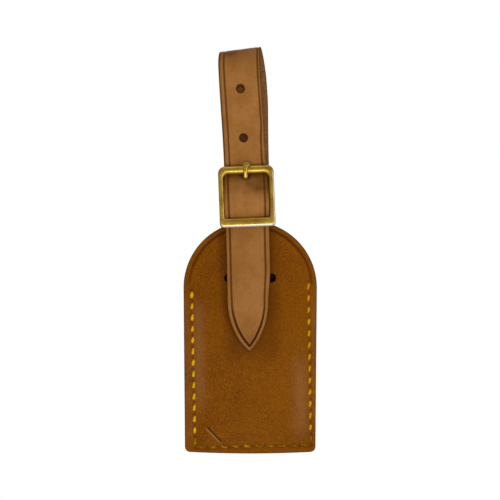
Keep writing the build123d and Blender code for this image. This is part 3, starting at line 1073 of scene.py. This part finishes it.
def stitch_rings(start, end, chance, size):
    """One stitch of twisted thread, which dives into the leather at both ends."""
    way, aside = way_between(start, end)
    slant = -chance.uniform(0.10, 0.20)
    spin = chance.uniform(0, pi)
    width = stitch_half_width * size * chance.uniform(0.93, 1.07)
    rise = stitch_half_height * size
    reach = stitch_half_length * chance.uniform(0.95, 1.05)
    surface = panel_thickness - stitch_sink
    rings = []
    for share in np.linspace(-1.0, 1.0, 17):
        travel = reach * share
        lift = surface + stitch_crown - stitch_dive * abs(share) ** 3.5
        swell = 0.42 + 0.58 * (1.0 - share * share)
        middle = (start + end) / 2 + way * travel + aside * slant * travel
        ring = []
        for step in range(14):
            turn = 2 * pi * step / 14
            ply = 1.0 + 0.13 * cos(2 * turn - 2 * pi * travel / thread_lay + spin)
            out = middle + aside * width * swell * ply * cos(turn)
            ring.append((out[0], out[1], lift + rise * swell * ply * sin(turn)))
        rings.append(ring)
    return np.array(rings)


def make_stitches(side, name, node):
    chance = random.Random(40 + side)
    row_sizes = (1.04, 0.98, 0.92)
    points, faces = [], []
    for row_index, row in enumerate(seam_rows):
        for stitch_index, (start, end) in enumerate(zip(row, row[1:])):
            frayed = frayed_size if side > 0 and row_index == 0 and stitch_index == 0 else 1.0
            rings = stitch_rings(start, end, chance, frayed * row_sizes[row_index])
            faces += ring_faces(*rings.shape[:2], first=len(points))
            x, z, lift = rings.reshape(-1, 3).T
            points += tag_to_row(x, z, -side * lift).tolist()
    piece = make_piece(name, points, faces, "thread", sharp=70)
    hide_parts(node)
    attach(piece, "tag")


# ---- buckle
def squared(share, power):
    """A sine or cosine whose curve is squarer the smaller the power."""
    return np.sign(share) * np.abs(share) ** power


def make_buckle_frame():
    """A cast ring, round along its top bar and flatter elsewhere, with two lugs for the pin."""
    outer = rounded_loop(frame_width / 2, frame_bottom, frame_top, 2.0, 3.4)
    inner = rounded_loop(window_width / 2, window_bottom, window_top, 1.3, 2.6)
    rings, edge_reflection = [], []
    for out, within in zip(outer, inner):
        middle, reach = (out + within) / 2, (out - within) / 2
        top_share = smooth(middle[1], -55.0, -50.0)
        low_share = smooth(middle[1], -73.6, -74.8)
        power = 2 / (3.8 - 1.6 * top_share - 0.9 * low_share)
        half_depth = 1.25 + 0.2 * top_share
        # A painted pale reflection along the bottom bar's lower edge and the right side's outer edge.
        low_edge = smooth(middle[1], -74.3, -74.9) * (0.65 + 0.35 * smooth(middle[0], -14.0, 2.0))
        right_edge = 0.7 * smooth(middle[0], 11.5, 12.2)
        ring = []
        for turn in turns_round(28):
            run, rise = squared(cos(turn), power), squared(sin(turn), power)
            spot = middle + reach * run
            spot_depth = frame_depth - half_depth * rise
            ring.append(strap_to_row(spot[0] + frame_shift, spot_depth, spot[1])[0])
            edge_reflection.append(max(low_edge, right_edge) * smooth(run, 0.50, 0.66))
        rings.append(ring)
    piece = rings_piece("buckle_ring", rings, "brass", ring_round=True, sharp=80)
    write_field(piece, "edge_reflection", edge_reflection)
    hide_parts("buckle_frame")
    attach(piece, "buckle")
    for side, name in ((-1, "pin_lug_left"), (1, "pin_lug_right")):
        lug = make_lug(side * lug_across + frame_shift, name)
        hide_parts("buckle_frame")
        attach(lug, "buckle")


def make_lug(across, name):
    """A small plate behind the ring, round at its end, that holds one end of the centre bar."""
    radius, half_thickness, edge, bevel = 1.9, 1.0, 0.3, 0.09
    back = arc(bar_depth, bar_along, radius, np.linspace(-pi / 2, pi / 2, 19))
    root = [(frame_depth + 0.4, bar_along + radius), (frame_depth + 0.4, bar_along - radius)]
    outline = np.vstack([back, root])
    middle = outline.mean(axis=0)
    rings = []
    profile = [(1 - 2 * edge, 0.0), (1 - edge, bevel), (1, edge)]
    for offset, inset in [(-offset, inset) for offset, inset in reversed(profile)] + profile:
        shrunk = middle + (outline - middle) * (1 - inset / radius)
        depth, along = shrunk.T
        rings.append(strap_to_row(across + offset * half_thickness, depth, along))
    return rings_piece(name, rings, "brass", sharp=60)


def make_centre_bar():
    """A turned pin with a low domed head at each end."""
    half_length, radius, head = 12.75, 1.1, 1.45
    profile = [(half_length - 1.0, radius), (half_length - 0.02, radius), (half_length, head)]
    profile += [(half_length + 0.4 * sin(t), head * cos(t)) for t in np.linspace(0.2, 1.45, 8)]
    stations = [(-a, r) for a, r in reversed(profile)] + profile
    rings = []
    for across, size in stations:
        rings.append(strap_to_row(across, *arc(bar_depth, bar_along, size, turns_round(24)).T))
    piece = rings_piece("centre_pin", rings, "brass")
    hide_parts("centre_bar")
    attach(piece, "buckle")


def make_prong():
    """A rod curled round the centre bar, up through the strap's hole and over the top bar."""
    curl_radius = 1.6
    curl = arc(bar_depth, bar_along, curl_radius, np.radians(np.linspace(95, -182, 40)))
    rest_depth = -11.25
    arm = rounded_route(
        [
            curl[-1],
            (-4.9, -54.4),
            (rest_depth + 0.6, -53.9),
            (rest_depth, -50.6),
            (rest_depth, -48.8),
            (rest_depth + 0.5, -46.7),
        ],
        [1.5, 1.1, 3.0, 2.0],
        0.15,
    )
    route = Route(np.vstack([curl[:-1], arm]))
    distance = np.linspace(0, route.length, 110)
    from_tip = route.length - distance
    spread = smooth(from_tip, 2.8, 1.0)
    half_width = 1.05 + 0.75 * spread
    half_height = 0.45 + 0.22 * smooth(from_tip, 11, 6) - 0.25 * smooth(from_tip, 3.0, 0.0)
    blunt = np.sqrt(np.clip(1 - (np.clip(0.55 - from_tip, 0, 0.55) / 0.56) ** 2, 0, 1))
    rings = []
    for step, width, height, flare in zip(distance, half_width * blunt, half_height * blunt, spread):
        around = turns_round(20)
        notch = 1.0 - 0.6 * flare * bell(np.cos(around) + 0.1, 0.3)
        depth, along = route.point(step, squared(np.sin(around), 0.85) * height * notch)
        across = squared(np.cos(around), 0.85) * width
        rings.append(strap_to_row(across - 0.3 + 0.55 * flare, depth, along))
    piece = rings_piece("prong_rod", rings, "brass", sharp=60)
    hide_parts("prong")
    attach(piece, "prong")


# ---- scene
def finish_nodes():
    """Materials for the CAD nodes that stay as they are."""
    for node, slot in (("address_card", "card"), ("strap_end_thread", "thread")):
        mesh = frame["nodes"][node].data
        mesh.materials.clear()
        mesh.materials.append(finishes[slot])


def make_stage():
    """A wide pale floor, well below the hanging tag."""
    radius, height = 1.4, -0.56
    f = Finish("pale_floor")
    tone = f.noise(f.place(), 3.0, 4)
    f.done(f.mix(tone, (244, 243, 240), (252, 251, 249)), 0.9)
    mesh = bpy.data.meshes.new("pale_floor")
    disc = bmesh.new()
    bmesh.ops.create_circle(
        disc, cap_ends=True, segments=96, radius=radius, matrix=Matrix.Translation((0, 0, height))
    )
    disc.to_mesh(mesh)
    disc.free()
    mesh.materials.append(f.material)
    floor = add_object("pale_floor", mesh)


def make_world():
    """White where the camera looks, and softer light than that on the object."""
    world = bpy.data.worlds.new("studio")
    bpy.context.scene.world = world
    world.use_nodes = True
    tree = world.node_tree
    tree.nodes.clear()
    ray = tree.nodes.new("ShaderNodeLightPath")
    either = tree.nodes.new("ShaderNodeMixShader")
    out = tree.nodes.new("ShaderNodeOutputWorld")
    tree.links.new(ray.outputs["Is Camera Ray"], either.inputs["Fac"])
    cast, seen = ((1.0, 0.98, 0.96, 1.0), 0.42), ((1.0, 1.0, 1.0, 1.0), 1.0)
    for socket, (colour, strength) in ((either.inputs[1], cast), (either.inputs[2], seen)):
        background = tree.nodes.new("ShaderNodeBackground")
        background.inputs["Color"].default_value = colour
        background.inputs["Strength"].default_value = strength
        tree.links.new(background.outputs[0], socket)
    tree.links.new(either.outputs[0], out.inputs["Surface"])


def area_light(name, place, aim, size, power):
    lamp = bpy.data.lights.new(name, "AREA")
    lamp.shape = "RECTANGLE"
    lamp.size, lamp.size_y = size
    lamp.energy = power
    holder = add_object(name, lamp)
    holder.location = place
    holder.rotation_euler = (Vector(aim) - Vector(place)).to_track_quat("-Z", "Y").to_euler()


def make_camera():
    """A long lens straight in front of the tag."""
    picture_width, picture_shift, picture_middle = 240.6, -0.1, -88.0
    lens, sensor = 85.0, 36.0
    camera = bpy.data.cameras.new("camera")
    camera.lens, camera.sensor_width = lens, sensor
    holder = add_object("camera", camera)
    distance = picture_width * lens / sensor
    across = slot_middle[0] + picture_shift
    holder.location = Vector((across, tag_low[1] - distance, picture_middle)) * MM
    holder.rotation_euler = (pi / 2, 0, 0)
    bpy.context.scene.camera = holder


make_strap()
make_strap_tip()
make_panel(1, "front_leather", "front_panel")
make_panel(-1, "back_leather", "back_panel")
make_stitches(1, "front_stitches", "front_seam_thread")
make_stitches(-1, "back_stitches", "back_seam_thread")
make_buckle_frame()
make_centre_bar()
make_prong()
finish_nodes()
make_stage()
make_world()
area_light("low_key", (-0.08, -1.05, -0.51), (0.0, 0.0, -0.09), (0.55, 0.20), 3.0)
area_light("right_side", (0.42, -0.55, -0.16), (0.0, 0.0, -0.12), (0.16, 0.50), 0.9)
area_light("overhead", (0.0, -0.35, 0.90), (0.0, 0.0, -0.08), (0.70, 0.50), 1.0)
area_light("behind", (0.0, 0.8, 0.35), (0.0, 0.0, -0.08), (0.60, 0.60), 2.2)
make_camera()
bpy.context.scene.view_settings.view_transform = "Standard"
